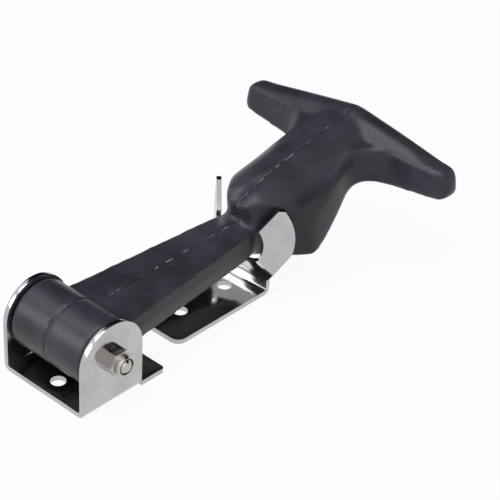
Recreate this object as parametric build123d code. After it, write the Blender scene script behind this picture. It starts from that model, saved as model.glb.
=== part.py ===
from build123d import *
from math import cos, radians, sin, tan
import os

# Rubber T draw latch.
# Frame: X runs from the pivot bracket to the T-handle, Y runs across the latch,
# Z stands up from the plane both brackets are screwed to.
# The origin lies on that plane, straight under the pivot axis.

# ---- fits ----
RUNNING_CLEARANCE = 0.08
THREAD_CLEARANCE = 0.02
BOLT_HOLE_CLEARANCE = 0.1
BARREL_SIDE_GAP = 0.2

# ---- stainless sheet shared by both brackets ----
SHEET = 1.5
BEND_INNER_RADIUS = 0.7
SCREW_HOLE_DIAMETER = 4.5

# ---- pivot bracket ----
PIVOT_HEIGHT = 15.2
EAR_RADIUS = 11.0
BRACKET_WIDTH = 32.0
BRACKET_TOE = 9.0
TOE_CORNER_RADIUS = 1.0
BRACKET_HOLE_INSET = 5.5

# ---- pivot hardware ----
BOLT_DIAMETER = 4.0
BOLT_END_CHAMFER = 0.5
BOLT_STICK_OUT = 0.4
BOLT_HEAD_FLATS = 7.0
BOLT_HEAD_HEIGHT = 2.8
HEX_CHAMFER = 0.35
NUT_FLATS = 7.0
NUT_HEX_HEIGHT = 3.4
COLLAR_HEIGHT = 1.8
COLLAR_DIAMETER = 6.3
COLLAR_CHAMFER = 0.5
INSERT_DIAMETER = 5.4
INSERT_LENGTH = 1.3
CRIMP_LIP = 0.25
CRIMP_OPENING = 5.0
SLEEVE_DIAMETER = 6.0

# ---- rubber barrel and strap ----
BARREL_RADIUS = 10.3
BARREL_EDGE_CHAMFER = 1.2
RING_GROOVE_WIDTH = 1.0
RING_GROOVE_DEPTH = 0.45
STRAP_ROOT_HALF_WIDTH = 12.8
STRAP_NECK_HALF_WIDTH = 6.3
STRAP_ROOT_RIDGE = 19.9
STRAP_INTO_BULB = 5.7
STRAP_NECK_RIDGE = 22.0
STRAP_CROWN = 1.1
STRAP_THICKNESS = 8.6
STRAP_SIDE_SWELL = 0.4

# ---- nose of the bulb, cut clear of the keeper's ears ----
NOSE_RADIUS = 66.3
NOSE_HALF_WIDTH = 4.2
NOSE_BLEND = 3.0
NOSE_VALLEY_WIDTH = 1.6
NOSE_VALLEY_DEPTH = 0.8
FLANK_SLOPE = 1.28
FLANK_REACH = 17.0

# ---- head in plan: bulb, neck and T-handle ----
HEAD_AHEAD_OF_NOSE = 6.3
HEAD_START_HALF_WIDTH = 11.0
BULB_BEHIND_NOSE = 16.7
BULB_HALF_WIDTH = 15.2
NECK_HALF_WIDTH = 11.6
INNER_CORNER_RADIUS = 9.0
LATCH_LENGTH = 135.0
HANDLE_WIDTH = 82.0
HANDLE_DEPTH = 14.0
ARM_END_DEPTH = 8.6
ARM_FRONT_TAPER = 1.6
ARM_END_RADIUS = 4.0
HANDLE_BACK_RADIUS = 24.0

# ---- head from the side ----
HANDLE_TOP = 42.4
HANDLE_BOTTOM = 25.2
NOSE_BOTTOM = 12.6
BULB_BOTTOM = 9.8
BOTTOM_AHEAD_OF_ARMS = 6.0
UNDERSIDE_RUN = 20.5
UNDERSIDE_RADIUS = 13.0
HANDLE_LEDGE = 35.5
LEDGE_AHEAD_OF_ARMS = 7.0
BULB_LEDGE = 23.2
LEDGE_RUN = 23.0
NOSE_LEDGE = 19.0
LEDGE_RADIUS = 14.0
BAND_STEP = 0.9
NECK_STEP = 3.2
BAND_DRAFT = 7.0
DECK_RISE = 1.0

# ---- crowned top of the bulb and the arms ----
BULB_TOP = 35.0
NECK_RISE = 0.2
CROWN_RISE = 9.5
NOSE_TOP = 27.0
CROWN_BEHIND_NOSE = 3.7
NOSE_CROWN_RADIUS = 8.0
CREST_CLEARANCE = 0.4
ARM_SHOULDER = 5.2
ARM_DROOP = 9.5
ARM_END_ROUNDING = 5.0
ARM_END_SPARE = 0.6
ARM_UNDERSIDE_START = 17.0
ARM_UNDERSIDE_RISE = 2.2
ARM_HEEL_ROUNDING = 3.0

# ---- keeper ----
KEEPER_TO_NOSE_GAP = 0.3
KEEPER_LENGTH = 37.5
KEEPER_WIDTH = 21.0
KEEPER_CORNER_RADIUS = 3.0
KEEPER_HOLE_INSET = 11.5
KEEPER_HOLE_SPACING = 19.0
WALL_HEIGHT = 5.0
HOOK_FORWARD = 4.0
HOOK_TWIST_TOP = 14.0
HOOK_SWEEP = 45.0
HOOK_FOLD_HALF_WIDTH = 7.0
HOOK_TOP = 29.8
HOOK_TIP_HALF_GAP = 11.9
HOOK_TIP_WIDTH = 1.4
HOOK_BULGE_HALF_WIDTH = 15.7
HOOK_BULGE_HEIGHT = 17.5
LIP_HALF_GAP = 8.0
LIP_HEIGHT = 22.5
NOTCH_HALF_WIDTH = 9.2
NOTCH_BELLY_HEIGHT = 17.0
NOTCH_SHOULDER_HEIGHT = 12.2
NOTCH_BOTTOM = 10.3

# ---- places that follow from the sizes above ----
EAR_INNER = BRACKET_WIDTH / 2 - SHEET
EAR_OUTER = BRACKET_WIDTH / 2
HANDLE_BACK = LATCH_LENGTH - EAR_RADIUS
ARM_FRONT = HANDLE_BACK - HANDLE_DEPTH
NUT_END = -EAR_OUTER - NUT_HEX_HEIGHT - COLLAR_HEIGHT
STRAP_NECK_X = NOSE_RADIUS + STRAP_INTO_BULB
HEAD_START_X = NOSE_RADIUS - HEAD_AHEAD_OF_NOSE
BULB_X = NOSE_RADIUS + BULB_BEHIND_NOSE
NOSE_CROWN_X = NOSE_RADIUS + CROWN_BEHIND_NOSE
HANDLE_BOTTOM_X = ARM_FRONT - BOTTOM_AHEAD_OF_ARMS
HANDLE_LEDGE_X = ARM_FRONT - LEDGE_AHEAD_OF_ARMS
BULB_BOTTOM_X = HANDLE_BOTTOM_X - UNDERSIDE_RUN
BULB_LEDGE_X = HANDLE_LEDGE_X - LEDGE_RUN
KEEPER_WALL_X = NOSE_RADIUS - KEEPER_TO_NOSE_GAP - SHEET + HOOK_FORWARD
KEEPER_START = KEEPER_WALL_X - KEEPER_LENGTH


def pivot_line(y):
    """Plane square to the pivot axis at Y = y, its normal along +Y."""
    return Plane(origin=(0, y, PIVOT_HEIGHT), x_dir=(1, 0, 0), z_dir=(0, 1, 0))


def axis_cylinder(radius, y_from, y_to):
    """Solid cylinder on the pivot axis between two Y places."""
    disc = pivot_line(y_from) * Circle(radius)
    return extrude(disc, amount=y_to - y_from)


def hex_prism(flats, y_from, y_to):
    """Hexagon bar on the pivot axis between two Y places."""
    outline = pivot_line(y_from) * RegularPolygon(flats / 2, 6, major_radius=False)
    return extrude(outline, amount=y_to - y_from)


def screw_holes(x_places):
    """Cutters for screw holes through a base plate."""
    cutters = [Pos(x, 0, 0) * Cylinder(SCREW_HOLE_DIAMETER / 2, 4 * SHEET) for x in x_places]
    return Part() + cutters


def pivot_bracket():
    """Folded U bracket: two round-topped ears on a base plate with a toe."""
    outer_radius = BEND_INNER_RADIUS + SHEET
    channel_height = PIVOT_HEIGHT + EAR_RADIUS
    section_plane = Plane(origin=(-EAR_RADIUS, 0, 0), x_dir=(0, 1, 0), z_dir=(1, 0, 0))
    outer = Pos(0, channel_height / 2) * Rectangle(BRACKET_WIDTH, channel_height)
    outer = fillet(outer.vertices().group_by(Axis.Y)[0], outer_radius)
    inner = Pos(0, channel_height / 2 + SHEET) * Rectangle(2 * EAR_INNER, channel_height)
    inner = fillet(inner.vertices().group_by(Axis.Y)[0], BEND_INNER_RADIUS)
    channel = extrude(section_plane * (outer - inner), amount=2 * EAR_RADIUS)

    profile_plane = Plane(origin=(0, EAR_OUTER, 0), x_dir=(1, 0, 0), z_dir=(0, -1, 0))
    ear = Pos(0, PIVOT_HEIGHT / 2) * Rectangle(2 * EAR_RADIUS, PIVOT_HEIGHT)
    ear += Pos(0, PIVOT_HEIGHT) * Circle(EAR_RADIUS)
    folded = channel & extrude(profile_plane * ear, amount=BRACKET_WIDTH)

    toe_plate = Pos(EAR_RADIUS, 0) * Rectangle(2 * BRACKET_TOE, BRACKET_WIDTH)
    toe_plate = fillet(toe_plate.vertices().group_by(Axis.X)[-1], TOE_CORNER_RADIUS)
    toe = extrude(toe_plate, amount=SHEET)
    toe &= Pos(EAR_RADIUS + BRACKET_TOE / 2, 0, 0) * Box(BRACKET_TOE, BRACKET_WIDTH, 2 * SHEET)

    bracket = folded + toe
    bracket -= axis_cylinder(BOLT_DIAMETER / 2 + BOLT_HOLE_CLEARANCE, -BRACKET_WIDTH, BRACKET_WIDTH)
    hole_back = -EAR_RADIUS + BRACKET_HOLE_INSET
    hole_front = EAR_RADIUS + BRACKET_TOE - BRACKET_HOLE_INSET
    bracket -= screw_holes([hole_back, hole_front])
    return bracket


def pivot_bolt():
    """Hex-head bolt along the pivot axis, its head on the +Y ear."""
    shank = axis_cylinder(BOLT_DIAMETER / 2, NUT_END - BOLT_STICK_OUT, EAR_OUTER)
    shank = chamfer(shank.edges().group_by(Axis.Y)[0], BOLT_END_CHAMFER)
    head = hex_prism(BOLT_HEAD_FLATS, EAR_OUTER, EAR_OUTER + BOLT_HEAD_HEIGHT)
    crown = axis_cylinder(BOLT_HEAD_FLATS / 2 / cos(radians(30)), EAR_OUTER, EAR_OUTER + BOLT_HEAD_HEIGHT)
    crown = chamfer(crown.edges().group_by(Axis.Y)[-1], HEX_CHAMFER, 2 * HEX_CHAMFER)
    return shank + (head & crown)


def lock_nut():
    """Hex nut with a round crimped collar that holds the nylon ring."""
    hex_end = -EAR_OUTER - NUT_HEX_HEIGHT
    body = hex_prism(NUT_FLATS, hex_end, -EAR_OUTER)
    crown = axis_cylinder(NUT_FLATS / 2 / cos(radians(30)), hex_end, -EAR_OUTER)
    crown = chamfer(crown.edges().group_by(Axis.Y)[0], HEX_CHAMFER, 2 * HEX_CHAMFER)
    collar = axis_cylinder(COLLAR_DIAMETER / 2, NUT_END, -EAR_OUTER)
    collar = chamfer(collar.edges().group_by(Axis.Y)[0], COLLAR_CHAMFER)
    nut = (body & crown) + collar
    pocket_end = NUT_END + CRIMP_LIP
    nut -= axis_cylinder(BOLT_DIAMETER / 2 + THREAD_CLEARANCE, 2 * NUT_END, EAR_OUTER)
    nut -= axis_cylinder(INSERT_DIAMETER / 2, pocket_end, pocket_end + INSERT_LENGTH)
    nut -= axis_cylinder(CRIMP_OPENING / 2, 2 * NUT_END, pocket_end)
    return nut


def nylon_insert():
    """Locking ring seated in the collar of the nut."""
    start = NUT_END + CRIMP_LIP
    ring = axis_cylinder(INSERT_DIAMETER / 2, start, start + INSERT_LENGTH)
    bore = axis_cylinder(BOLT_DIAMETER / 2 + THREAD_CLEARANCE, start, start + INSERT_LENGTH)
    return ring - bore


def spacer_sleeve():
    """Tube clamped between the ears that the rubber barrel turns on."""
    tube = axis_cylinder(SLEEVE_DIAMETER / 2, -EAR_INNER, EAR_INNER)
    return tube - axis_cylinder(BOLT_DIAMETER / 2 + BOLT_HOLE_CLEARANCE, -EAR_INNER, EAR_INNER)


def barrel():
    """Pivot barrel with rounded ends and a ring groove at mid-width."""
    half_length = EAR_INNER - BARREL_SIDE_GAP
    body = axis_cylinder(BARREL_RADIUS, -half_length, half_length)
    body = chamfer(body.edges().filter_by(GeomType.CIRCLE), BARREL_EDGE_CHAMFER)
    groove_plane = Plane(origin=(0, 0, PIVOT_HEIGHT), x_dir=(0, 1, 0), z_dir=(1, 0, 0))
    left = (-RING_GROOVE_WIDTH / 2, BARREL_RADIUS)
    bottom = (0, BARREL_RADIUS - RING_GROOVE_DEPTH)
    right = (RING_GROOVE_WIDTH / 2, BARREL_RADIUS)
    above = (0, BARREL_RADIUS + RING_GROOVE_WIDTH)
    wedge = make_face(Polyline(left, bottom, right, above, close=True))
    groove = revolve(groove_plane * wedge, Axis((0, 0, PIVOT_HEIGHT), (0, 1, 0)))
    return body - groove


def strap_section(x, half_width, ridge):
    """Six-sided strap section at one X: crowned top, swelled sides, flat bottom."""
    plane = Plane(origin=(x, 0, 0), x_dir=(0, 1, 0), z_dir=(1, 0, 0))
    bottom = ridge - STRAP_THICKNESS
    middle = ridge - STRAP_THICKNESS / 2
    side = half_width + STRAP_SIDE_SWELL
    outline = Polyline(
        (0, ridge + STRAP_CROWN),
        (half_width, ridge),
        (side, middle),
        (half_width, bottom),
        (-half_width, bottom),
        (-side, middle),
        (-half_width, ridge),
        close=True,
    )
    return plane * make_face(outline)


def strap():
    """Tapered strap from the barrel into the bulb."""
    root = strap_section(0, STRAP_ROOT_HALF_WIDTH, STRAP_ROOT_RIDGE)
    neck = strap_section(STRAP_NECK_X, STRAP_NECK_HALF_WIDTH, STRAP_NECK_RIDGE)
    return loft([root, neck], ruled=True)


def side_plane():
    """Plane for outlines drawn from the side, with X and Z as its axes."""
    return Plane(origin=(0, HANDLE_WIDTH, 0), x_dir=(1, 0, 0), z_dir=(0, -1, 0))


def side_slab(outline):
    """Solid with the given side outline, wider than the whole head."""
    return extrude(side_plane() * outline, amount=2 * HANDLE_WIDTH)


def rounded_at(face, points, radius):
    """Face with the corners nearest to the given points rounded."""
    corners = [face.vertices().sort_by_distance((x, y))[0] for x, y in points]
    return fillet(corners, radius)


def head_plan(inset, neck_step):
    """T-shaped plan of bulb, neck and handle, drawn in by an inset, with the neck drawn in further."""
    front = ARM_FRONT + inset
    back = HANDLE_BACK - inset
    arm_end = HANDLE_WIDTH / 2 + ARM_END_SPARE - inset
    end_front = front + ARM_FRONT_TAPER
    end_back = ARM_FRONT + ARM_FRONT_TAPER + ARM_END_DEPTH - inset
    neck = NECK_HALF_WIDTH - inset - neck_step
    side = ThreePointArc(
        (HEAD_START_X, HEAD_START_HALF_WIDTH - inset),
        (BULB_X, BULB_HALF_WIDTH - inset),
        (front, neck),
    )
    arm = Polyline(side @ 1, (end_front, arm_end), (end_back, arm_end), (back, 0))
    right = [side] + arm.edges()
    left = [mirror(edge, Plane.XZ) for edge in right]
    nose = Line(side @ 0, ((side @ 0).X, -(side @ 0).Y))
    plan = make_face(right + left + [nose])
    plan = rounded_at(plan, [(front, neck), (front, -neck)], INNER_CORNER_RADIUS + inset)
    end_corners = [(x, y) for x in (end_front, end_back) for y in (arm_end, -arm_end)]
    plan = rounded_at(plan, end_corners, ARM_END_RADIUS - inset)
    return rounded_at(plan, [(back, 0)], HANDLE_BACK_RADIUS)


def ledge_line(rise):
    """Corners of the ledge seen from the side, from the handle's back to the nose."""
    return [
        (HANDLE_BACK + HANDLE_DEPTH, HANDLE_LEDGE + rise),
        (HANDLE_LEDGE_X, HANDLE_LEDGE + rise),
        (BULB_LEDGE_X, BULB_LEDGE + rise),
        (HEAD_START_X, NOSE_LEDGE + rise),
    ]


def band():
    """Lower band round bulb, neck and handle, with a drafted side."""
    lean = HANDLE_BOTTOM * tan(radians(BAND_DRAFT))
    hanging = extrude(head_plan(-lean, 0), amount=HANDLE_TOP, taper=BAND_DRAFT)
    slab = mirror(hanging, Plane.XY)
    ledge = ledge_line(0)
    underside = [
        (HEAD_START_X, NOSE_BOTTOM),
        (BULB_BOTTOM_X, BULB_BOTTOM),
        (HANDLE_BOTTOM_X, HANDLE_BOTTOM),
        (HANDLE_BACK + HANDLE_DEPTH, HANDLE_BOTTOM),
    ]
    outline = make_face(Polyline(*ledge, *underside, close=True))
    outline = rounded_at(outline, ledge[1:3], LEDGE_RADIUS)
    outline = rounded_at(outline, underside[1:3], UNDERSIDE_RADIUS)
    return slab & side_slab(outline)


def deck():
    """Step of the head above the ledge, drawn in from the band."""
    slab = extrude(head_plan(BAND_STEP, NECK_STEP), amount=HANDLE_TOP)
    ledge = ledge_line(DECK_RISE)
    floor = [(x, z - 2 * DECK_RISE) for x, z in reversed(ledge)]
    outline = make_face(Polyline(*ledge, *floor, close=True))
    outline = rounded_at(outline, ledge[1:3], LEDGE_RADIUS)
    return slab & side_slab(outline)


def bulb_crown():
    """Arched top of bulb and neck, rising towards the handle and rounded at the nose."""
    half_width = BULB_HALF_WIDTH
    start_top = BULB_TOP - NECK_RISE * (BULB_X - HEAD_START_X)
    length = (ARM_FRONT + HANDLE_BACK) / 2 - HEAD_START_X
    rising = Vector(1, 0, NECK_RISE)
    cross = Plane(origin=(HEAD_START_X, 0, start_top), x_dir=(0, 1, 0), z_dir=rising)
    arch = ThreePointArc((-half_width, -CROWN_RISE), (0, 0), (half_width, -CROWN_RISE))
    sides = Polyline(arch @ 1, (half_width, -start_top), (-half_width, -start_top), arch @ 0)
    body = extrude(cross * make_face([arch, sides]), amount=length)

    nose_crown = BULB_TOP - NECK_RISE * (BULB_X - NOSE_CROWN_X) + CREST_CLEARANCE
    end_crown = nose_crown + NECK_RISE * (HANDLE_BACK - NOSE_CROWN_X)
    top = [
        (HEAD_START_X, NOSE_LEDGE),
        (NOSE_RADIUS - NOSE_HALF_WIDTH, NOSE_TOP),
        (NOSE_CROWN_X, nose_crown),
        (HANDLE_BACK, end_crown),
    ]
    outline = make_face(Polyline(*top, *ledge_line(0), close=True))
    outline = rounded_at(outline, top[2:3], NOSE_CROWN_RADIUS)
    return body & side_slab(outline)


def arm_crown():
    """Arched top of the arm towards -Y, drooping to its end."""
    front = ARM_FRONT + BAND_STEP
    back = HANDLE_BACK - BAND_STEP
    away = Vector(0, -cos(radians(ARM_DROOP)), -sin(radians(ARM_DROOP)))
    start = Vector(0, 0, HANDLE_TOP) - away * HANDLE_DEPTH
    cross = Plane(origin=start, x_dir=(1, 0, 0), z_dir=away)
    depth = HANDLE_TOP - HANDLE_LEDGE + CREST_CLEARANCE
    arch = ThreePointArc((front, -ARM_SHOULDER), ((front + back) / 2, 0), (back, -ARM_SHOULDER))
    sides = Polyline(arch @ 1, (back, -depth), (front, -depth), arch @ 0)
    whole = extrude(cross * make_face([arch, sides]), amount=HANDLE_DEPTH + HANDLE_WIDTH / 2)
    half_plan = Pos(HANDLE_BACK, -HANDLE_WIDTH / 2) * Rectangle(2 * HANDLE_DEPTH, HANDLE_WIDTH)
    return whole & extrude(half_plan, amount=2 * HANDLE_TOP)


def front_slab():
    """Solid with the head's front outline: drooping arms, rounded ends and rising undersides."""
    arm_end = HANDLE_WIDTH / 2
    crest = HANDLE_TOP + CREST_CLEARANCE
    end_top = crest - arm_end * tan(radians(ARM_DROOP))
    end_bottom = HANDLE_BOTTOM + ARM_UNDERSIDE_RISE
    start = (ARM_UNDERSIDE_START, HANDLE_BOTTOM - CREST_CLEARANCE)
    right = [(ARM_UNDERSIDE_START, 0), start, (arm_end, end_bottom), (arm_end, end_top)]
    left = [(-y, z) for y, z in reversed(right)]
    outline = make_face(Polyline(*right, (0, crest), *left, close=True))
    outline = rounded_at(outline, [(arm_end, end_top), (-arm_end, end_top)], ARM_END_ROUNDING)
    outline = rounded_at(outline, [(arm_end, end_bottom), (-arm_end, end_bottom)], ARM_HEEL_ROUNDING)
    across = Plane(origin=(0, 0, 0), x_dir=(0, 1, 0), z_dir=(1, 0, 0))
    return extrude(across * outline, amount=LATCH_LENGTH)


def head():
    """Bulb, neck and T-handle with stepped sides and rounded arm ends."""
    arm = arm_crown()
    crowns = bulb_crown() + arm + mirror(arm, Plane.XZ)
    crowns &= extrude(head_plan(BAND_STEP, NECK_STEP), amount=2 * HANDLE_TOP)
    return (band() + deck() + crowns) & front_slab()


def swing_relief():
    """Double cone about the pivot axis: everything nearer than the bulb's front faces."""
    reach = FLANK_REACH
    flank_end = NOSE_RADIUS + FLANK_SLOPE * (reach - NOSE_HALF_WIDTH)
    plane = Plane(origin=(0, 0, PIVOT_HEIGHT), x_dir=(0, 1, 0), z_dir=(-1, 0, 0))
    outline = Polyline(
        (-reach, 0),
        (-reach, flank_end),
        (-NOSE_HALF_WIDTH, NOSE_RADIUS),
        (-NOSE_VALLEY_WIDTH / 2, NOSE_RADIUS),
        (0, NOSE_RADIUS + NOSE_VALLEY_DEPTH),
        (NOSE_VALLEY_WIDTH / 2, NOSE_RADIUS),
        (NOSE_HALF_WIDTH, NOSE_RADIUS),
        (reach, flank_end),
        (reach, 0),
        close=True,
    )
    face = make_face(outline)
    shoulders = [v for v in face.vertices() if abs(abs(v.X) - NOSE_HALF_WIDTH) < 0.01]
    face = fillet(shoulders, NOSE_BLEND)
    return revolve(plane * face, Axis((0, 0, PIVOT_HEIGHT), (0, 1, 0)))


def rubber_t_strap():
    """One rubber moulding: barrel, strap, bulb and T-handle."""
    body = head() - swing_relief() + strap() + barrel()
    bore = SLEEVE_DIAMETER / 2 + RUNNING_CLEARANCE
    return body - axis_cylinder(bore, -BRACKET_WIDTH, BRACKET_WIDTH)


def hook_section(z, wall_x, sweep):
    """Plan section of the hook sheet at height z, its front at wall_x and its wings swept back."""
    reach = HOOK_BULGE_HALF_WIDTH
    along_x = sin(radians(sweep))
    along_y = cos(radians(sweep))
    fold_back = HOOK_FOLD_HALF_WIDTH - SHEET * tan(radians(sweep / 2))
    end_front = (wall_x + reach * along_x, HOOK_FOLD_HALF_WIDTH + reach * along_y)
    end_back = (end_front[0] + SHEET * along_y, end_front[1] - SHEET * along_x)
    half = [
        (wall_x, HOOK_FOLD_HALF_WIDTH),
        end_front,
        end_back,
        (wall_x + SHEET, fold_back),
    ]
    other = [(x, -y) for x, y in reversed(half)]
    return Pos(0, 0, z) * make_face(Polyline(*half, *other, close=True))


def hook_outline():
    """Front outline of the hook: ears, throat, and the notch under the neck."""
    half_width = KEEPER_WIDTH / 2
    tip_outer = HOOK_TIP_HALF_GAP + HOOK_TIP_WIDTH
    bulge = (HOOK_BULGE_HALF_WIDTH, HOOK_BULGE_HEIGHT)
    belly = (NOTCH_HALF_WIDTH, NOTCH_BELLY_HEIGHT)
    shoulder = (LIP_HALF_GAP, NOTCH_SHOULDER_HEIGHT)
    right = [
        Line((0, SHEET), (half_width, SHEET)),
        Line((half_width, SHEET), (half_width, WALL_HEIGHT)),
        ThreePointArc((half_width, WALL_HEIGHT), bulge, (tip_outer, HOOK_TOP)),
        Line((tip_outer, HOOK_TOP), (HOOK_TIP_HALF_GAP, HOOK_TOP)),
        Line((HOOK_TIP_HALF_GAP, HOOK_TOP), (LIP_HALF_GAP, LIP_HEIGHT)),
        ThreePointArc((LIP_HALF_GAP, LIP_HEIGHT), belly, shoulder),
    ]
    left = [mirror(piece, Plane.YZ) for piece in right]
    bottom = ThreePointArc(shoulder, (0, NOTCH_BOTTOM), (-shoulder[0], shoulder[1]))
    return make_face(right + left + [bottom])


def keeper_bracket():
    """Keeper: base plate, low wall, and two swept ears that catch the bulb."""
    wall_back = KEEPER_WALL_X + SHEET
    length = wall_back - KEEPER_START
    side = Plane(origin=(0, KEEPER_WIDTH / 2, 0), x_dir=(1, 0, 0), z_dir=(0, -1, 0))
    outer = Pos(KEEPER_START + length / 2, WALL_HEIGHT / 2) * Rectangle(length, WALL_HEIGHT)
    outer_corner = outer.vertices().sort_by(Axis.Y)[:2].sort_by(Axis.X)[-1]
    outer = fillet(outer_corner, BEND_INNER_RADIUS + SHEET)
    inner = Pos(KEEPER_START + length / 2 - SHEET, WALL_HEIGHT / 2 + SHEET) * Rectangle(length, WALL_HEIGHT)
    inner_corner = inner.vertices().sort_by(Axis.Y)[:2].sort_by(Axis.X)[-1]
    inner = fillet(inner_corner, BEND_INNER_RADIUS)
    angle = extrude(side * (outer - inner), amount=KEEPER_WIDTH)

    corner_plan = Pos(KEEPER_START + length / 2, 0) * Rectangle(length, KEEPER_WIDTH)
    corner_plan = fillet(corner_plan.vertices().group_by(Axis.X)[0], KEEPER_CORNER_RADIUS)
    angle &= extrude(corner_plan, amount=WALL_HEIGHT)
    first_hole = KEEPER_START + KEEPER_HOLE_INSET
    angle -= screw_holes([first_hole, first_hole + KEEPER_HOLE_SPACING])

    throat_x = KEEPER_WALL_X - HOOK_FORWARD
    flat = hook_section(SHEET + BEND_INNER_RADIUS, KEEPER_WALL_X, 0)
    wall_top = hook_section(WALL_HEIGHT, KEEPER_WALL_X, 0)
    folded = hook_section(HOOK_TWIST_TOP, throat_x, HOOK_SWEEP)
    tall = hook_section(HOOK_TOP + SHEET, throat_x, HOOK_SWEEP)
    sheet = loft([flat, wall_top], ruled=True)
    sheet += loft([wall_top, folded], ruled=True)
    sheet += loft([folded, tall], ruled=True)
    front = Plane(origin=(KEEPER_START, 0, 0), x_dir=(0, 1, 0), z_dir=(1, 0, 0))
    hook = sheet & extrude(front * hook_outline(), amount=2 * length)
    return angle + hook


def write(solid, node):
    """Write one node as a STEP file."""
    solid.label = node
    export_step(solid, f"parts/{node}.step")


os.makedirs("parts", exist_ok=True)
write(pivot_bracket(), "pivot_bracket")
write(pivot_bolt(), "pivot_bolt")
write(lock_nut(), "lock_nut")
write(nylon_insert(), "nylon_insert")
write(spacer_sleeve(), "spacer_sleeve")
write(rubber_t_strap(), "rubber_t_strap")
write(keeper_bracket(), "keeper_bracket")
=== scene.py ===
"""Rubber T draw latch, dressed for display over its CAD frame.

The CAD frame gives every place and size. This script turns the plain rubber solid into a soft
moulded body with its flash line, folds the keeper from one even sheet, deburrs the bracket, and
gives each piece a finish made from the material it is really made of.
Lengths in the dataclasses are millimetres, and angles are degrees, unless a name says otherwise.
"""

import logging
import math
from dataclasses import dataclass, field
from enum import Enum
from typing import Iterable

import bmesh
import bpy
from mathutils import Matrix, Vector, noise


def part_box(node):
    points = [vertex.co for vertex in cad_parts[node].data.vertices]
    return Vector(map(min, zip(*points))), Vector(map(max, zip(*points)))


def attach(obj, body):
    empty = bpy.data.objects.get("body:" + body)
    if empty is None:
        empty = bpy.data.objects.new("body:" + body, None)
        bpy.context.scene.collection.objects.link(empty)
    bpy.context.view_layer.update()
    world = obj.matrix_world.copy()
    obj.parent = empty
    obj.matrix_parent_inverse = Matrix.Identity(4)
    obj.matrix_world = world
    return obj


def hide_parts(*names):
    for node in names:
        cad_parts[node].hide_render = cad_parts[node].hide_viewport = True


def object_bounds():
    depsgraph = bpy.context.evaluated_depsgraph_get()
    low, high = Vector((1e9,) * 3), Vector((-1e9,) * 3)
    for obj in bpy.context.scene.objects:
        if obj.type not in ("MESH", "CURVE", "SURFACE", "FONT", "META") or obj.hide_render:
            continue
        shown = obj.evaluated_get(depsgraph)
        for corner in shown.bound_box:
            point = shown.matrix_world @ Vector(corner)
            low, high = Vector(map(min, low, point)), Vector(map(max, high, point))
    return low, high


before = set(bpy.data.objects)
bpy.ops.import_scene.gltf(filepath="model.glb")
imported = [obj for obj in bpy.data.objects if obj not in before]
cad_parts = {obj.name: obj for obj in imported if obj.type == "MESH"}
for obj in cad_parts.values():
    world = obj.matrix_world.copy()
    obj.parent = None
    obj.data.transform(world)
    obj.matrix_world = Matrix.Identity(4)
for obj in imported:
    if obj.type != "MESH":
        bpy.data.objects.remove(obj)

CAD_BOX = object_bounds()
MM = 0.001
# Corners of the CAD mesh that lie closer than this, in millimetres, are the same corner.
JOINED_WITHIN = 0.001
LOG = logging.getLogger("draw_latch")


class Body(Enum):
    """Rigid bodies of the latch that pieces ride on."""

    MOUNTED = "mounted"
    STRAP = "t_strap"


class Slot(Enum):
    """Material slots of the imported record."""

    RUBBER = "rubber"
    SHEET = "stainless_sheet"
    FASTENER = "fastener_steel"
    NYLON = "nylon"


# ---------------------------------------------------------------- colour and nodes


def linear(hex_colour: str) -> tuple[float, float, float, float]:
    """Turns an sRGB hex colour into linear RGBA.

    Args:
        hex_colour: Colour such as "#2f2f33".

    Returns:
        Linear red, green, blue and an alpha of 1.
    """
    channels = []
    for start in (1, 3, 5):
        value = int(hex_colour[start : start + 2], 16) / 255
        channels.append(value / 12.92 if value <= 0.04045 else ((value + 0.055) / 1.055) ** 2.4)
    return (channels[0], channels[1], channels[2], 1.0)


def add_node(
    tree: bpy.types.NodeTree, kind: str, settings: dict | None = None, **inputs: object
) -> bpy.types.Node:
    """Adds a node with its settings, input values and input links.

    Args:
        tree: Node tree that the node joins.
        kind: Node type name, such as "ShaderNodeTexNoise".
        settings: Node properties by name.
        inputs: Values or output sockets by input name, with "_" for a space, or i0, i1 by number.

    Returns:
        The new node.
    """
    node = tree.nodes.new(kind)
    for name, value in (settings or {}).items():
        setattr(node, name, value)
    for name, value in inputs.items():
        key = int(name[1:]) if name[1:].isdigit() else name.replace("_", " ")
        socket = node.inputs[key]
        if isinstance(value, bpy.types.NodeSocket):
            tree.links.new(value, socket)
        else:
            socket.default_value = value
    return node


def new_material(name: str) -> tuple[bpy.types.Material, bpy.types.NodeTree]:
    """Makes an empty node material.

    Args:
        name: Name of the material.

    Returns:
        The material and its node tree.
    """
    material = bpy.data.materials.new(name)
    material.use_nodes = True
    material.node_tree.nodes.clear()
    return material, material.node_tree


def per_metre(period_mm: float) -> float:
    """Texture scale whose pattern repeats about once every period_mm."""
    return 1.0 / (period_mm * MM)


# ---------------------------------------------------------------- finishes


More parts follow.
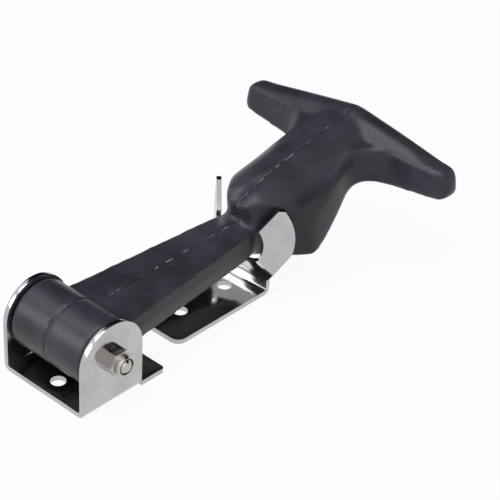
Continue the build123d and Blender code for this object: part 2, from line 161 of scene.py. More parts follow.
@dataclass(frozen=True)
class MouldedRubber:
    """EPDM rubber, compression moulded in a spark-eroded mould.

    Gives the eye a blue-black satin skin: broad grey highlights, a faint cloudy bloom of wax that
    has come to the surface, and a fine grain left by the mould.
    """

    skin: str = "#2a2a31"
    bloom: str = "#3d3d47"
    roughness: float = 0.35
    # The waxy bloom takes some of the mirror off the skin.
    shine_level: float = 0.3
    bloom_patch: float = 15.0
    bloom_from: float = 0.35
    bloom_full: float = 0.72
    # Real mould grain is about 0.1 mm; it is drawn at 0.5 mm so that it shows from a step away.
    grain: float = 0.5
    grain_height: float = 0.006

    def material(self) -> bpy.types.Material:
        """Builds the rubber material.

        Returns:
            The material.
        """
        material, tree = new_material("moulded_epdm_rubber")
        place = add_node(tree, "ShaderNodeTexCoord").outputs["Object"]
        cloud = add_node(
            tree,
            "ShaderNodeTexNoise",
            Vector=place,
            Scale=per_metre(self.bloom_patch),
            Detail=4.0,
            Roughness=0.6,
        )
        colour = add_node(tree, "ShaderNodeValToRGB", Fac=cloud.outputs["Fac"])
        low, high = colour.color_ramp.elements
        low.position, low.color = self.bloom_from, linear(self.skin)
        high.position, high.color = self.bloom_full, linear(self.bloom)
        grain = add_node(
            tree, "ShaderNodeTexNoise", Vector=place, Scale=per_metre(self.grain), Detail=2.0
        )
        shine = add_node(
            tree,
            "ShaderNodeMapRange",
            Value=cloud.outputs["Fac"],
            From_Min=0.3,
            From_Max=0.75,
            To_Min=self.roughness - 0.05,
            To_Max=self.roughness + 0.08,
        )
        bump = add_node(
            tree,
            "ShaderNodeBump",
            Height=grain.outputs["Fac"],
            Distance=self.grain_height * MM,
            Strength=1.0,
        )
        shader = add_node(
            tree,
            "ShaderNodeBsdfPrincipled",
            Base_Color=colour.outputs["Color"],
            Roughness=shine.outputs["Result"],
            IOR=1.5,
            Specular_IOR_Level=self.shine_level,
            Normal=bump.outputs["Normal"],
        )
        add_node(tree, "ShaderNodeOutputMaterial", Surface=shader.outputs["BSDF"])
        return material


@dataclass(frozen=True)
class RubberFlash:
    """Thin torn flash where the halves of the mould met.

    Gives the eye a near-black line, which is painted shade standing in for the dark crease of the
    seam, broken by pale dashes and a pale nib at the back end, which are painted highlight where
    the seam's edge catches the light.
    """

    # Near-black: painted shade of the seam's crease.
    skin: str = "#0e0e11"
    # Pale grey: painted highlight along the seam's edge.
    painted_glint: str = "#a2a2a6"
    glint_dash_period: float = 2.6
    roughness: float = 0.55
    glint_from: float = 0.5
    glint_full: float = 0.6
    # Over the nib at the back end, the painted highlight fades in between these places.
    nib_glint_from: float = 119.5
    nib_glint_full: float = 121.0

    def material(self) -> bpy.types.Material:
        """Builds the flash material.

        Returns:
            The material.
        """
        material, tree = new_material("flash_painted_shade_and_glint")
        place = add_node(tree, "ShaderNodeTexCoord").outputs["Object"]
        # Broken dashes of painted highlight along the flash.
        glint_dashes = add_node(
            tree, "ShaderNodeTexNoise", Vector=place, Scale=per_metre(self.glint_dash_period), Detail=4.0
        )
        along = add_node(tree, "ShaderNodeSeparateXYZ", Vector=place)
        nib = add_node(
            tree,
            "ShaderNodeMapRange",
            Value=along.outputs["X"],
            From_Min=self.nib_glint_from * MM,
            From_Max=self.nib_glint_full * MM,
        )
        # The painted highlight is full over the nib; elsewhere the flash shows painted shade.
        painted_glint = add_node(
            tree,
            "ShaderNodeMath",
            {"operation": "MAXIMUM"},
            i0=glint_dashes.outputs["Fac"],
            i1=nib.outputs["Result"],
        )
        colour = add_node(tree, "ShaderNodeValToRGB", Fac=painted_glint.outputs["Value"])
        low, high = colour.color_ramp.elements
        low.position, low.color = self.glint_from, linear(self.skin)
        high.position, high.color = self.glint_full, linear(self.painted_glint)
        shader = add_node(
            tree,
            "ShaderNodeBsdfPrincipled",
            Base_Color=colour.outputs["Color"],
            Roughness=self.roughness,
            IOR=1.5,
        )
        add_node(tree, "ShaderNodeOutputMaterial", Surface=shader.outputs["BSDF"])
        return material


@dataclass(frozen=True)
class PolishedStainless:
    """Austenitic stainless sheet, stamped and tumble polished.

    Gives the eye a bright neutral mirror, slightly veiled by the fine scratches of the tumbling
    stones, with soft clouds and a faint warm heat tint where the polish is thinner.
    """

    metal: str = "#bbbbbe"
    heat_tint: str = "#b1abaa"
    roughness: float = 0.12
    veil_patch: float = 11.0
    tint_from: float = 0.42
    tint_full: float = 0.7
    # Tumbling scratches are about 0.02 mm wide; they are drawn at 0.35 mm so that they show.
    scratch: float = 0.35
    scratch_depth: float = 0.0012

    def material(self) -> bpy.types.Material:
        """Builds the stainless material.

        Returns:
            The material.
        """
        material, tree = new_material("tumble_polished_stainless")
        place = add_node(tree, "ShaderNodeTexCoord").outputs["Object"]
        veil = add_node(
            tree, "ShaderNodeTexNoise", Vector=place, Scale=per_metre(self.veil_patch), Detail=4.0
        )
        shine = add_node(
            tree,
            "ShaderNodeMapRange",
            Value=veil.outputs["Fac"],
            From_Min=0.3,
            From_Max=0.7,
            To_Min=self.roughness - 0.03,
            To_Max=self.roughness + 0.08,
        )
        tint = add_node(tree, "ShaderNodeValToRGB", Fac=veil.outputs["Fac"])
        low, high = tint.color_ramp.elements
        low.position, low.color = self.tint_from, linear(self.metal)
        high.position, high.color = self.tint_full, linear(self.heat_tint)
        scratches = add_node(
            tree,
            "ShaderNodeTexNoise",
            Vector=place,
            Scale=per_metre(self.scratch),
            Detail=3.0,
            Distortion=2.5,
        )
        bump = add_node(
            tree,
            "ShaderNodeBump",
            Height=scratches.outputs["Fac"],
            Distance=self.scratch_depth * MM,
            Strength=1.0,
        )
        shader = add_node(
            tree,
            "ShaderNodeBsdfPrincipled",
            Base_Color=tint.outputs["Color"],
            Metallic=1.0,
            Roughness=shine.outputs["Result"],
            Normal=bump.outputs["Normal"],
        )
        add_node(tree, "ShaderNodeOutputMaterial", Surface=shader.outputs["BSDF"])
        return material


@dataclass(frozen=True)
class TurnedSteel:
    """Stainless bolt and nut stock, cold headed and turned.

    Gives the eye a warmer, greyer metal than the polished sheet, with fine rings round its axis.
    """

    metal: str = "#b6b2ac"
    roughness: float = 0.13
    # Turning marks are about 0.08 mm apart; they are drawn as soft rings 2.5 mm apart, which is as
    # coarse as they need to be to show on a nut of this size.
    ring: float = 2.5
    ring_depth: float = 0.0008
    smear: float = 1.4
    # A wave texture of scale 1 repeats after this many metres.
    wave_period: float = math.tau / 20

    def material(self) -> bpy.types.Material:
        """Builds the turned steel material.

        Returns:
            The material.
        """
        material, tree = new_material("turned_stainless_fastener")
        place = add_node(tree, "ShaderNodeTexCoord").outputs["Object"]
        rings = add_node(
            tree,
            "ShaderNodeTexWave",
            {"wave_type": "BANDS", "bands_direction": "Y"},
            Vector=place,
            Scale=per_metre(self.ring) * self.wave_period,
            Distortion=0.6,
        )
        smear = add_node(
            tree, "ShaderNodeTexNoise", Vector=place, Scale=per_metre(self.smear), Detail=3.0
        )
        shine = add_node(
            tree,
            "ShaderNodeMapRange",
            Value=smear.outputs["Fac"],
            From_Min=0.3,
            From_Max=0.7,
            To_Min=self.roughness - 0.06,
            To_Max=self.roughness + 0.1,
        )
        bump = add_node(
            tree,
            "ShaderNodeBump",
            Height=rings.outputs["Fac"],
            Distance=self.ring_depth * MM,
            Strength=0.6,
        )
        shader = add_node(
            tree,
            "ShaderNodeBsdfPrincipled",
            Base_Color=linear(self.metal),
            Metallic=1.0,
            Roughness=shine.outputs["Result"],
            Normal=bump.outputs["Normal"],
        )
        add_node(tree, "ShaderNodeOutputMaterial", Surface=shader.outputs["BSDF"])
        return material


@dataclass(frozen=True)
class MouldedNylon:
    """Polyamide 6 ring, injection moulded.

    Gives the eye a dark, slightly waxy plastic with soft uneven shine.
    """

    skin: str = "#26262a"
    worn: str = "#38383c"
    roughness: float = 0.4
    mottle: float = 1.1
    worn_from: float = 0.35
    worn_full: float = 0.7

    def material(self) -> bpy.types.Material:
        """Builds the nylon material.

        Returns:
            The material.
        """
        material, tree = new_material("moulded_polyamide")
        place = add_node(tree, "ShaderNodeTexCoord").outputs["Object"]
        mottle = add_node(
            tree, "ShaderNodeTexNoise", Vector=place, Scale=per_metre(self.mottle), Detail=2.0
        )
        colour = add_node(tree, "ShaderNodeValToRGB", Fac=mottle.outputs["Fac"])
        low, high = colour.color_ramp.elements
        low.position, low.color = self.worn_from, linear(self.skin)
        high.position, high.color = self.worn_full, linear(self.worn)
        shader = add_node(
            tree,
            "ShaderNodeBsdfPrincipled",
            Base_Color=colour.outputs["Color"],
            Roughness=self.roughness,
            IOR=1.53,
        )
        add_node(tree, "ShaderNodeOutputMaterial", Surface=shader.outputs["BSDF"])
        return material


# ---------------------------------------------------------------- mesh helpers


def link(mesh: bpy.types.Mesh, name: str) -> bpy.types.Object:
    """Puts a mesh in the scene.

    Args:
        mesh: The mesh.
        name: Name of the new object.

    Returns:
        The new object.
    """
    piece = bpy.data.objects.new(name, mesh)
    bpy.context.scene.collection.objects.link(piece)
    return piece


def mesh_from(shape: bmesh.types.BMesh, name: str) -> bpy.types.Object:
    """Turns a bmesh into an object in the scene, and frees it.

    Args:
        shape: The bmesh, freed afterwards.
        name: Name of the new mesh and object.

    Returns:
        The new object.
    """
    mesh = bpy.data.meshes.new(name)
    shape.to_mesh(mesh)
    shape.free()
    return link(mesh, name)


def settle(piece: bpy.types.Object) -> None:
    """Replaces a piece's mesh with the result of its modifiers, and drops them.

    Args:
        piece: The object, changed in place.
    """
    graph = bpy.context.evaluated_depsgraph_get()
    done = bpy.data.meshes.new_from_object(piece.evaluated_get(graph))
    piece.modifiers.clear()
    piece.data = done


def shade_by_angle(piece: bpy.types.Object, degrees: float) -> None:
    """Shades a mesh smooth, with edges sharper than the angle kept crisp.

    Args:
        piece: The mesh object, changed in place.
        degrees: Angle between faces from which an edge is crisp.
    """
    shape = bmesh.new()
    shape.from_mesh(piece.data)
    limit = math.radians(degrees)
    for face in shape.faces:
        face.smooth = True
    for edge in shape.edges:
        edge.smooth = len(edge.link_faces) == 2 and edge.calc_face_angle(0.0) < limit
    shape.to_mesh(piece.data)
    shape.free()


def finish_piece(
    piece: bpy.types.Object,
    material: bpy.types.Material,
    replaced: Iterable[str],
    body: Body,
) -> bpy.types.Object:
    """Gives a piece its material and its rigid body, and hides the CAD nodes that it stands for.

    Args:
        piece: The finished mesh object.
        material: Its finish.
        replaced: CAD nodes that it stands for.
        body: Rigid body that it rides on.

    Returns:
        The same piece.
    """
    piece.data.materials.clear()
    piece.data.materials.append(material)
    nodes = tuple(replaced)
    if nodes:
        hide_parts(*nodes)
    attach(piece, body.value)
    return piece


def copy_of(node: str, name: str) -> bpy.types.Object:
    """Copies a CAD node's mesh into a new object, with its shared corners joined.

    Args:
        node: Name of the CAD node.
        name: Name of the new object.

    Returns:
        The new object, in place but not dressed.
    """
    piece = link(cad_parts[node].data.copy(), name)
    shape = bmesh.new()
    shape.from_mesh(piece.data)
    bmesh.ops.remove_doubles(shape, verts=shape.verts, dist=JOINED_WITHIN * MM)
    shape.to_mesh(piece.data)
    shape.free()
    return piece


def pivot_height() -> float:
    """Height of the pivot axis in metres, read from the middle of the pivot bolt."""
    low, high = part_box("pivot_bolt")
    return (low[2] + high[2]) / 2


def eased(value: float, start: float, end: float) -> float:
    """Smooth step from 0 at start to 1 at end."""
    share = min(max((value - start) / (end - start), 0.0), 1.0)
    return share * share * (3.0 - 2.0 * share)


# ---------------------------------------------------------------- rubber


@dataclass(frozen=True)
class SofteningZone:
    """Stretch of the moulding whose edges are rounded by a number of smoothing passes."""

    name: str
    start: float
    full: float
    passes: int


@dataclass
class RubberBody:
    """The rubber moulding: barrel, strap, bulb and T-handle with soft edges and a flash line."""

    voxel: float = 0.42
    zones: tuple[SofteningZone, ...] = (
        SofteningZone("whole", -20.0, -19.0, 2),
        SofteningZone("strap", 9.0, 13.0, 5),
        SofteningZone("head", 61.0, 68.0, 95),
    )
    seam_from: float = 11.5
    seam_to: float = 123.2
    # The seam ends where the back of the handle turns down: the upward share of its normal.
    seam_turn: float = 0.55
    seam_turn_reach: float = 10.0
    crease_width: float = 0.5
    crease_depth: float = 0.42
    crease_full: float = 14.0
    crease_fade: float = 4.0
    # Valley between the lobes of the nose: where it starts, is full, starts to fade, and ends.
    valley_run: tuple[float, float, float, float] = (64.0, 68.0, 70.0, 80.0)
    valley_width: float = 1.6
    valley_depth: float = 1.1
    upward: float = 0.05
    seam_upward: float = 0.3
    flash_width: float = 0.5
    flash_height: float = 0.15
    flash_step: float = 0.5
    flash_root: float = 0.12
    flash_crest: float = 0.35
    # The torn edge wanders by half of its width, about once in this many millimetres.
    ragged: float = 1.7
    nib_length: float = 3.0
    nib_width: float = 3.4
    finish: MouldedRubber = field(default_factory=MouldedRubber)
    flash_finish: RubberFlash = field(default_factory=RubberFlash)

    def skin(self) -> bpy.types.Object:
        """Makes the soft skin from the plain solid.

        Returns:
            The skin, in place but not dressed.
        """
        body = copy_of("rubber_t_strap", "rubber_body")
        remesh = body.modifiers.new("even_skin", "REMESH")
        remesh.mode = "VOXEL"
        remesh.voxel_size = self.voxel * MM
        settle(body)
        for zone in self.zones:
            group = body.vertex_groups.new(name=zone.name)
            for vertex in body.data.vertices:
                group.add([vertex.index], eased(vertex.co.x / MM, zone.start, zone.full), "REPLACE")
            smooth = body.modifiers.new(zone.name, "SMOOTH")
            smooth.factor = 0.5
            smooth.iterations = zone.passes
            smooth.vertex_group = zone.name
        settle(body)
        body.vertex_groups.clear()
        for polygon in body.data.polygons:
            polygon.use_smooth = True
        return body

    def press_crease(self, body: bpy.types.Object) -> None:
        """Presses the fine valley of the parting line into the top of the head.

        Args:
            body: The soft skin, changed in place.
        """
        places = [vertex.co.copy() for vertex in body.data.vertices]
        normals = [vertex.normal.copy() for vertex in body.data.vertices]
        for place, normal in zip(places, normals):
            x = place.x / MM
            if normal.z < self.upward:
                continue
            along = eased(x, self.seam_from, self.crease_full)
            along *= 1.0 - eased(x, self.seam_to - self.crease_fade, self.seam_to)
            starts, full, fades, ends = self.valley_run
            nose = eased(x, starts, full) * (1.0 - eased(x, fades, ends))
            crease = self.crease_depth * math.exp(-((place.y / MM / self.crease_width) ** 2))
            valley = self.valley_depth * math.exp(-((place.y / MM / self.valley_width) ** 2))
            place -= normal * ((crease * along + valley * nose) * MM)
        body.data.vertices.foreach_set("co", [value for place in places for value in place])
        body.data.update()

    def seam_path(self, body: bpy.types.Object) -> list[Vector]:
        """Finds the top line of the skin in the middle plane.

        Args:
            body: The soft skin.

        Returns:
            Points in metres, evenly spaced, from the barrel to the back of the handle.
        """
        shape = bmesh.new()
        shape.from_mesh(body.data)
        everything = shape.verts[:] + shape.edges[:] + shape.faces[:]
        cut = bmesh.ops.bisect_plane(
            shape, geom=everything, plane_co=(0, 0, 0), plane_no=(0, 1, 0)
        )["geom_cut"]
        on_cut = [item for item in cut if isinstance(item, bmesh.types.BMVert)]
        edges = {item for item in cut if isinstance(item, bmesh.types.BMEdge)}
        top = [v for v in on_cut if v.co.z > pivot_height() and v.normal.z > self.seam_upward]
        start = min(top, key=lambda v: abs(v.co.x / MM - self.seam_from))
        path = [start]
        used = {start}
        while path[-1].co.x / MM < self.seam_to:
            ahead = [e.other_vert(path[-1]) for e in path[-1].link_edges if e in edges]
            ahead = [v for v in ahead if v not in used]
            if not ahead:
                break
            step = max(ahead, key=lambda v: v.co.x)
            near_end = step.co.x / MM > self.seam_to - self.seam_turn_reach
            if near_end and step.normal.z < self.seam_turn:
                break
            used.add(step)
            path.append(step)
        points = [vertex.co.copy() for vertex in path]
        shape.free()
        spaced = [points[0]]
        for point in points[1:]:
            if (point - spaced[-1]).length >= self.flash_step * MM:
                spaced.append(point)
        return spaced

    def flash(self, body: bpy.types.Object) -> bpy.types.Object:
        """Makes the thin broken flash that stands on the parting line, with the nib at its end.

        Args:
            body: The soft skin.

        Returns:
            The flash, in place but not dressed.
        """
        points = self.seam_path(body)
        last = points[-1].x / MM
        shape = bmesh.new()
        rings = []
        for index, point in enumerate(points):
            before = points[max(index - 1, 0)]
            after = points[min(index + 1, len(points) - 1)]
            run = (after - before).normalized()
            out = Vector((-run.z, 0.0, run.x))
            ragged = 0.75 + 0.5 * noise.noise(point * per_metre(self.ragged))
            nib = eased(point.x / MM, last - self.nib_length, last - self.nib_length * 0.6)
            # Both ends taper over the last three or four steps.
            ends = min(1.0, 0.2 + index / 4.0) * min(1.0, 0.35 + (len(points) - 1 - index) / 3.0)
            half = (self.flash_width * (1 - nib) + self.nib_width * nib) * 0.5 * ragged * ends * MM
            tall = self.flash_height * (1 + nib) * ragged * ends * MM
            side = Vector((0.0, half, 0.0))
            foot = out * (self.flash_root * MM)
            crest = out * tall
            ring = [
                point - side - foot,
                point - side * self.flash_crest + crest,
                point + side * self.flash_crest + crest,
                point + side - foot,
            ]
            rings.append([shape.verts.new(place) for place in ring])
        for first, second in zip(rings, rings[1:]):
            for corner in range(4):
                after = (corner + 1) % 4
                shape.faces.new((first[corner], second[corner], second[after], first[after]))
        shape.faces.new(rings[0][::-1])
        shape.faces.new(rings[-1])
        bmesh.ops.recalc_face_normals(shape, faces=shape.faces)
        return mesh_from(shape, "parting_line_flash")

    def build(self) -> list[bpy.types.Object]:
        """Builds the body and its flash.

        Returns:
            The pieces, dressed and in place.
        """
        body = self.skin()
        self.press_crease(body)
        flash = self.flash(body)
        finish_piece(body, self.finish.material(), ["rubber_t_strap"], Body.STRAP)
        finish_piece(flash, self.flash_finish.material(), [], Body.STRAP)
        return [body, flash]


# ---------------------------------------------------------------- folded sheet


@dataclass
class PivotBracket:
    """U-shaped bracket of polished stainless sheet with softly deburred edges."""

    node: str = "pivot_bracket"
    edge_rounding: float = 0.28
    rounding_steps: int = 3
    crisp_angle: float = 30.0
    flat_angle: float = 0.5

    def build(self, material: bpy.types.Material) -> bpy.types.Object:
        """Builds the bracket.

        Args:
            material: Finish of the sheet.

        Returns:
            The bracket, dressed and in place.
        """
        piece = copy_of(self.node, "pivot_bracket_sheet")
        shape = bmesh.new()
        shape.from_mesh(piece.data)
        bmesh.ops.dissolve_limit(
            shape,
            angle_limit=math.radians(self.flat_angle),
            verts=shape.verts,
            edges=shape.edges,
            use_dissolve_boundaries=False,
        )
        shape.to_mesh(piece.data)
        shape.free()
        bevel = piece.modifiers.new("deburred_edges", "BEVEL")
        bevel.width = self.edge_rounding * MM
        bevel.segments = self.rounding_steps
        bevel.limit_method = "ANGLE"
        bevel.angle_limit = math.radians(self.crisp_angle)
        settle(piece)
        shade_by_angle(piece, self.crisp_angle)
        return finish_piece(piece, material, [self.node], Body.MOUNTED)


@dataclass
class KeeperBracket:
    """Keeper folded from one even sheet: base plate, low wall, and two swept ears."""

    node: str = "keeper_bracket"
    sheet: float = 1.5
    start_x: float = 31.0
    wall_x: float = 68.5
    half_width: float = 10.5
    corner_radius: float = 3.0
    hole_places: tuple[float, float] = (42.5, 61.5)
    hole_radius: float = 2.25
    inner_bend: float = 0.7
    wall_top: float = 5.0
    lean: float = 4.0
    twist_top: float = 14.0
    sweep: float = 45.0
    fold_half_width: float = 7.0
    fold_softness: float = 1.6
    tip_top: float = 29.8
    tip_inner: float = 11.9
    tip_outer: float = 13.3
    bulge: tuple[float, float] = (15.7, 17.5)
    lip: tuple[float, float] = (8.0, 22.5)
    belly: tuple[float, float] = (9.2, 17.0)
    shoulder: tuple[float, float] = (8.0, 12.2)
    notch_bottom: float = 10.3
    cell: float = 0.7
    shortest_edge: float = 0.02
    edge_rounding: float = 0.28
    rounding_steps: int = 3
    rounded_angle: float = 60.0
    crisp_angle: float = 34.0
    corner_steps: int = 8
    bulge_steps: int = 30
    belly_steps: int = 14
    notch_steps: int = 20
    hole_steps: int = 32
    bend_steps: int = 8
    fold_lead: float = 1.0
    on_middle: float = 1e-6

    @staticmethod
    def arc(start: tuple, middle: tuple, end: tuple, steps: int) -> list[tuple[float, float]]:
        """Points on the circle through three places, without the first one.

        Args:
            start: First place.
            middle: A place on the way.
            end: Last place.
            steps: Number of points.

        Returns:
            The points, ending at the last place.
        """
        (ax, ay), (bx, by), (cx, cy) = start, middle, end
        double = 2 * (ax * (by - cy) + bx * (cy - ay) + cx * (ay - by))
        squares = (ax * ax + ay * ay, bx * bx + by * by, cx * cx + cy * cy)
        ux = (squares[0] * (by - cy) + squares[1] * (cy - ay) + squares[2] * (ay - by)) / double
        uy = (squares[0] * (cx - bx) + squares[1] * (ax - cx) + squares[2] * (bx - ax)) / double
        radius = math.hypot(ax - ux, ay - uy)
        first = math.atan2(ay - uy, ax - ux)
        through = math.atan2(by - uy, bx - ux)
        last = math.atan2(cy - uy, cx - ux)
        turn = math.tau if ((through - first) % math.tau) > ((last - first) % math.tau) else 0.0
        swing = (last - first) % math.tau - turn
        points = []
        for step in range(1, steps + 1):
            angle = first + swing * step / steps
            points.append((ux + radius * math.cos(angle), uy + radius * math.sin(angle)))
        return points

    def bend_length(self) -> float:
        """Length of the middle of the sheet round the bend between base and wall."""
        return (self.inner_bend + self.sheet / 2) * math.pi / 2

    def flat_height(self, height: float) -> float:
        """Place along the unfolded sheet that ends up at a height on the wall or the ears."""
        bend_end = self.sheet + self.inner_bend
        return self.wall_x - self.inner_bend + self.bend_length() + height - bend_end

    def outline(self) -> list[tuple[float, float]]:
        """Half outline of the unfolded sheet, as place along it and half width.

        Returns:
            Points from the middle of the base's end round to the middle of the notch.
        """
        corner = self.corner_radius
        middle = corner * (1 - math.sqrt(0.5))
        points = [(self.start_x, 0.0), (self.start_x, self.half_width - corner)]
        points += self.arc(
            points[-1],
            (self.start_x + middle, self.half_width - middle),
            (self.start_x + corner, self.half_width),
            self.corner_steps,
        )
        points.append((self.flat_height(self.wall_top), self.half_width))
        ear = [(self.half_width, self.wall_top)]
        ear += self.arc(ear[-1], self.bulge, (self.tip_outer, self.tip_top), self.bulge_steps)
        ear += [(self.tip_inner, self.tip_top), self.lip]
        ear += self.arc(self.lip, self.belly, self.shoulder, self.belly_steps)
        opposite = (-self.shoulder[0], self.shoulder[1])
        ear += self.arc(self.shoulder, (0.0, self.notch_bottom), opposite, self.notch_steps)
        points += [(self.flat_height(z), y) for y, z in ear[1:] if y > self.on_middle]
        points.append((self.flat_height(self.notch_bottom), 0.0))
        return points

    def folded(self, along: float, across: float) -> Vector:
        """Place of a point of the unfolded sheet's middle once it is folded.

        Args:
            along: Place along the unfolded sheet.
            across: Place across it.

        Returns:
            The place in metres.
        """
        middle = self.sheet / 2
        radius = self.inner_bend + middle
        bend_start = self.wall_x - self.inner_bend
        if along <= bend_start:
            return Vector((along, across, middle)) * MM
        if along <= bend_start + self.bend_length():
            angle = (along - bend_start) / radius
            rise = self.sheet + self.inner_bend - radius * math.cos(angle)
            return Vector((bend_start + radius * math.sin(angle), across, rise)) * MM
        height = self.sheet + self.inner_bend + along - bend_start - self.bend_length()
        fold = eased(height, self.wall_top - self.fold_lead, self.twist_top + self.fold_lead)
        beyond = abs(across) - self.fold_half_width
        soft = self.fold_softness
        swept = 0.5 * (beyond + math.sqrt(beyond * beyond + soft * soft))
        swept -= 0.5 * (math.sqrt(self.fold_half_width**2 + soft * soft) - self.fold_half_width)
        x = self.wall_x + middle - self.lean * fold
        x += math.tan(math.radians(self.sweep * fold)) * swept
        return Vector((x, across, height)) * MM

    @staticmethod
    def cut(shape: bmesh.types.BMesh, place: tuple, across: tuple) -> None:
        """Divides a flat mesh along a line.

        Args:
            shape: The mesh, changed in place.
            place: A point of the line.
            across: Direction square to the line.
        """
        everything = shape.verts[:] + shape.edges[:] + shape.faces[:]
        bmesh.ops.bisect_plane(shape, geom=everything, plane_co=place, plane_no=across, dist=1e-5)

    def flat_sheet(self) -> bmesh.types.BMesh:
        """Cuts the unfolded sheet with its two screw holes and divides it into small cells.

        Returns:
            The flat sheet, in millimetres.
        """
        shape = bmesh.new()
        half = self.outline()
        mirrored = [(along, -across) for along, across in reversed(half) if across > self.on_middle]
        rim = half + mirrored
        loops = [[shape.verts.new((along, across, 0.0)) for along, across in rim]]
        for place in self.hole_places:
            turns = [math.tau * step / self.hole_steps for step in range(self.hole_steps)]
            radius = self.hole_radius
            around = [(place + radius * math.cos(turn), radius * math.sin(turn)) for turn in turns]
            loops.append([shape.verts.new((along, across, 0.0)) for along, across in around])
        edges = []
        for loop in loops:
            edges += [shape.edges.new(pair) for pair in zip(loop, loop[1:] + loop[:1])]
        bmesh.ops.triangle_fill(shape, edges=edges, use_beauty=True)
        end = max(along for along, _ in half)
        bend_start = self.wall_x - self.inner_bend
        steps = self.bend_steps
        places = [bend_start + self.bend_length() * step / steps for step in range(steps + 1)]
        while places[-1] + self.cell < end:
            places.append(places[-1] + self.cell)
        for place in places:
            self.cut(shape, (place, 0, 0), (1, 0, 0))
        lines = int(self.bulge[0] / self.cell)
        for line in range(-lines, lines + 1):
            self.cut(shape, (0, line * self.cell, 0), (0, 1, 0))
        return shape

    def build(self, material: bpy.types.Material) -> bpy.types.Object:
        """Builds the keeper.

        Args:
            material: Finish of the sheet.

        Returns:
            The keeper, dressed and in place.
        """
        shape = self.flat_sheet()
        for vertex in shape.verts:
            vertex.co = self.folded(vertex.co.x, vertex.co.y)
        bmesh.ops.recalc_face_normals(shape, faces=shape.faces)
        piece = mesh_from(shape, "keeper_sheet")
        solid = piece.modifiers.new("sheet_thickness", "SOLIDIFY")
        solid.thickness = self.sheet * MM
        solid.offset = 0.0
        solid.use_even_offset = True
        settle(piece)
        bevel = piece.modifiers.new("deburred_edges", "BEVEL")
        bevel.width = self.edge_rounding * MM
        bevel.segments = self.rounding_steps
        bevel.limit_method = "ANGLE"
        bevel.angle_limit = math.radians(self.rounded_angle)
        settle(piece)
        shape = bmesh.new()
        shape.from_mesh(piece.data)
        bmesh.ops.dissolve_degenerate(shape, dist=self.shortest_edge * MM, edges=shape.edges)
        shape.to_mesh(piece.data)
        shape.free()
        shade_by_angle(piece, self.crisp_angle)
        return finish_piece(piece, material, [self.node], Body.MOUNTED)


# ---------------------------------------------------------------- pivot hardware


@dataclass
class PivotHardware:
    """Bolt, lock nut, nylon ring and spacer sleeve on the pivot axis."""

    crisp_angle: float = 28.0
    steel: TurnedSteel = field(default_factory=TurnedSteel)
    nylon: MouldedNylon = field(default_factory=MouldedNylon)

    def build(self) -> list[bpy.types.Object]:
        """Dresses the hardware.

        Returns:
            The pieces, dressed and in place.
        """
        steel = self.steel.material()
        nylon = self.nylon.material()
        pieces = []
        for node, material, slot in (
            ("pivot_bolt", steel, Slot.FASTENER),
            ("lock_nut", steel, Slot.FASTENER),
            ("spacer_sleeve", steel, Slot.FASTENER),
            ("nylon_insert", nylon, Slot.NYLON),
        ):
            piece = copy_of(node, node + "_part")
            shade_by_angle(piece, self.crisp_angle)
            pieces.append(finish_piece(piece, material, [node], Body.MOUNTED))
        return pieces


# ---------------------------------------------------------------- studio


@dataclass(frozen=True)
class SoftBox:
    """A rectangular studio lamp. Places are metres, and the lamp faces its target."""

    name: str
    place: tuple[float, float, float]
    width: float
    height: float
    watts: float

    def build(self, target: Vector) -> bpy.types.Object:
        """Adds the lamp to the scene.

        Args:
            target: Place that it faces.

        Returns:
            The lamp.
        """
        lamp = bpy.data.lights.new(self.name, "AREA")
        lamp.shape = "RECTANGLE"
        lamp.size = self.width
        lamp.size_y = self.height
        lamp.energy = self.watts
        holder = bpy.data.objects.new(self.name, lamp)
        bpy.context.scene.collection.objects.link(holder)
        holder.location = self.place
        holder.rotation_euler = (target - Vector(self.place)).to_track_quat("-Z", "Y").to_euler()
        return holder


@dataclass(frozen=True)
class Flag:
    """A dark card that only reflections see, as a studio sets one beside bright metal."""

    name: str
    place: tuple[float, float, float]
    width: float
    height: float
    colour: str

    def build(self, target: Vector) -> bpy.types.Object:
        """Adds the card to the scene.

        Args:
            target: Place that it faces.

        Returns:
            The card.
        """
        shape = bmesh.new()
        bmesh.ops.create_grid(shape, x_segments=1, y_segments=1, size=0.5)
        card = mesh_from(shape, self.name)
        card.location = self.place
        card.scale = (self.width, self.height, 1.0)
        card.rotation_euler = (target - Vector(self.place)).to_track_quat("Z", "Y").to_euler()
        material, tree = new_material(self.name + "_cloth")
        glow = add_node(tree, "ShaderNodeEmission", Color=linear(self.colour), Strength=1.0)
        add_node(tree, "ShaderNodeOutputMaterial", Surface=glow.outputs["Emission"])
        card.data.materials.append(material)
        card.visible_camera = False
        card.visible_diffuse = False
        card.visible_shadow = False
        card.visible_transmission = False
        return card


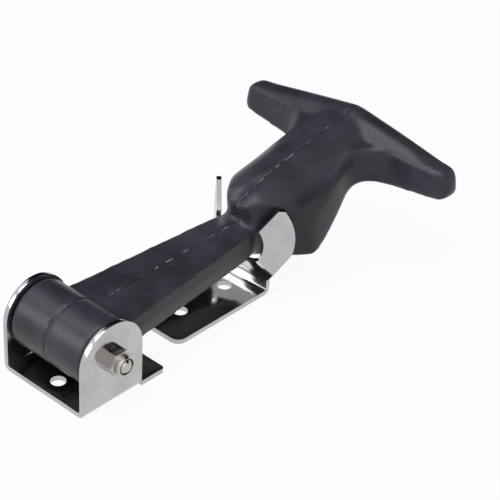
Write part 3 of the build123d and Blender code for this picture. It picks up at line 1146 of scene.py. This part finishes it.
@dataclass
class Studio:
    """Pale floor, white surroundings, soft lamps and the camera. Lengths here are metres."""

    floor_size: float = 3.0
    floor_colour: str = "#dcdcde"
    floor_glow: float = 0.94
    sky_level: float = 0.3
    azimuth: float = -49.36
    elevation: float = 33.57
    roll: float = 3.38
    distance: float = 0.4932
    target: tuple[float, float, float] = (0.06485, -0.00476, 0.015)
    lens: float = 119.9
    sensor: float = 36.0
    shift_x: float = 0.0086
    clip: tuple[float, float] = (0.02, 20.0)
    floor_gap: float = 0.0002
    lamps: tuple[SoftBox, ...] = (
        SoftBox("overhead_softbox", (-0.12, 0.1, 0.75), 0.65, 0.65, 4.2),
        SoftBox("left_softbox", (-0.55, 0.35, 0.35), 0.35, 0.35, 1.8),
        SoftBox("front_softbox", (-0.15, -0.6, 0.3), 0.4, 0.3, 0.2),
    )
    flags: tuple[Flag, ...] = (
        Flag("back_flag", (0.75, 0.6, 0.42), 1.6, 0.9, "#1b1718"),
        Flag("high_flag", (0.6, 0.25, 0.95), 1.2, 0.7, "#2c2b2e"),
        Flag("front_flag", (0.65, -0.6, 0.55), 0.7, 0.5, "#1e1d20"),
    )

    def seen(self, tree: bpy.types.NodeTree) -> bpy.types.NodeSocket:
        """Adds the test for rays that show the white background.

        Args:
            tree: Node tree that the test joins.

        Returns:
            Socket that is 1 for camera, glossy and transmission rays.
        """
        path = add_node(tree, "ShaderNodeLightPath")
        first = add_node(
            tree,
            "ShaderNodeMath",
            {"operation": "MAXIMUM"},
            i0=path.outputs["Is Camera Ray"],
            i1=path.outputs["Is Glossy Ray"],
        )
        both = add_node(
            tree,
            "ShaderNodeMath",
            {"operation": "MAXIMUM"},
            i0=first.outputs["Value"],
            i1=path.outputs["Is Transmission Ray"],
        )
        return both.outputs["Value"]

    def build_floor(self) -> None:
        """Adds the pale floor that keeps the latch's shadow."""
        shape = bmesh.new()
        bmesh.ops.create_grid(shape, x_segments=1, y_segments=1, size=self.floor_size / 2)
        floor = mesh_from(shape, "floor")
        floor.location.z = CAD_BOX[0][2] - self.floor_gap
        material, tree = new_material("pale_paper_floor")
        paper = add_node(tree, "ShaderNodeBsdfDiffuse", Color=linear(self.floor_colour))
        glow = add_node(tree, "ShaderNodeEmission", Color=(1.0, 1.0, 1.0, 1.0), Strength=1.0)
        share = add_node(
            tree,
            "ShaderNodeMath",
            {"operation": "MULTIPLY"},
            i0=self.seen(tree),
            i1=self.floor_glow,
        )
        mix = add_node(
            tree,
            "ShaderNodeMixShader",
            i0=share.outputs["Value"],
            i1=paper.outputs["BSDF"],
            i2=glow.outputs["Emission"],
        )
        add_node(tree, "ShaderNodeOutputMaterial", Surface=mix.outputs["Shader"])
        floor.data.materials.append(material)

    def build_sky(self) -> None:
        """Makes the surroundings white to the eye and softly lit for the rest."""
        world = bpy.data.worlds.new("white_surroundings")
        bpy.context.scene.world = world
        world.use_nodes = True
        tree = world.node_tree
        tree.nodes.clear()
        level = add_node(
            tree,
            "ShaderNodeMapRange",
            Value=self.seen(tree),
            From_Min=0.0,
            From_Max=1.0,
            To_Min=self.sky_level,
            To_Max=1.0,
        )
        sky = add_node(
            tree,
            "ShaderNodeBackground",
            Color=(1.0, 1.0, 1.0, 1.0),
            Strength=level.outputs["Result"],
        )
        add_node(tree, "ShaderNodeOutputWorld", Surface=sky.outputs["Background"])

    def build_camera(self) -> None:
        """Adds the camera at its viewing angle."""
        azimuth = math.radians(self.azimuth)
        elevation = math.radians(self.elevation)
        level = Vector((-math.sin(azimuth), math.cos(azimuth), 0.0))
        forward = level * math.cos(elevation) - Vector((0.0, 0.0, math.sin(elevation)))
        right = Vector((math.cos(azimuth), math.sin(azimuth), 0.0))
        up = right.cross(forward)
        roll = math.radians(self.roll)
        side = right * math.cos(roll) + up * math.sin(roll)
        top = up * math.cos(roll) - right * math.sin(roll)
        camera = bpy.data.cameras.new("camera")
        camera.lens = self.lens
        camera.sensor_width = self.sensor
        camera.shift_x = self.shift_x
        camera.clip_start, camera.clip_end = self.clip
        holder = bpy.data.objects.new("camera", camera)
        bpy.context.scene.collection.objects.link(holder)
        turn = Matrix((side, top, -forward)).transposed().to_4x4()
        place = Vector(self.target) - forward * self.distance
        holder.matrix_world = Matrix.Translation(place) @ turn
        bpy.context.scene.camera = holder

    def build(self) -> None:
        """Builds the whole studio."""
        self.build_floor()
        self.build_sky()
        self.build_camera()
        for item in self.lamps + self.flags:
            item.build(Vector(self.target))
        bpy.context.scene.view_settings.view_transform = "Standard"


# ---------------------------------------------------------------- assembly


def report(name: str, pieces: Iterable[bpy.types.Object]) -> None:
    """Logs each piece of a sub-assembly with its face count."""
    for piece in pieces:
        LOG.info("%s: %s, %d faces", name, piece.name, len(piece.data.polygons))


def main() -> None:
    """Builds the latch and its studio in order."""
    logging.basicConfig(level=logging.INFO, format="%(name)s %(message)s")
    stainless = PolishedStainless().material()
    report("rubber", RubberBody().build())
    report("bracket", [PivotBracket().build(stainless)])
    report("keeper", [KeeperBracket().build(stainless)])
    report("hardware", PivotHardware().build())
    Studio().build()
    bpy.context.view_layer.update()


if __name__ == "__main__":
    main()
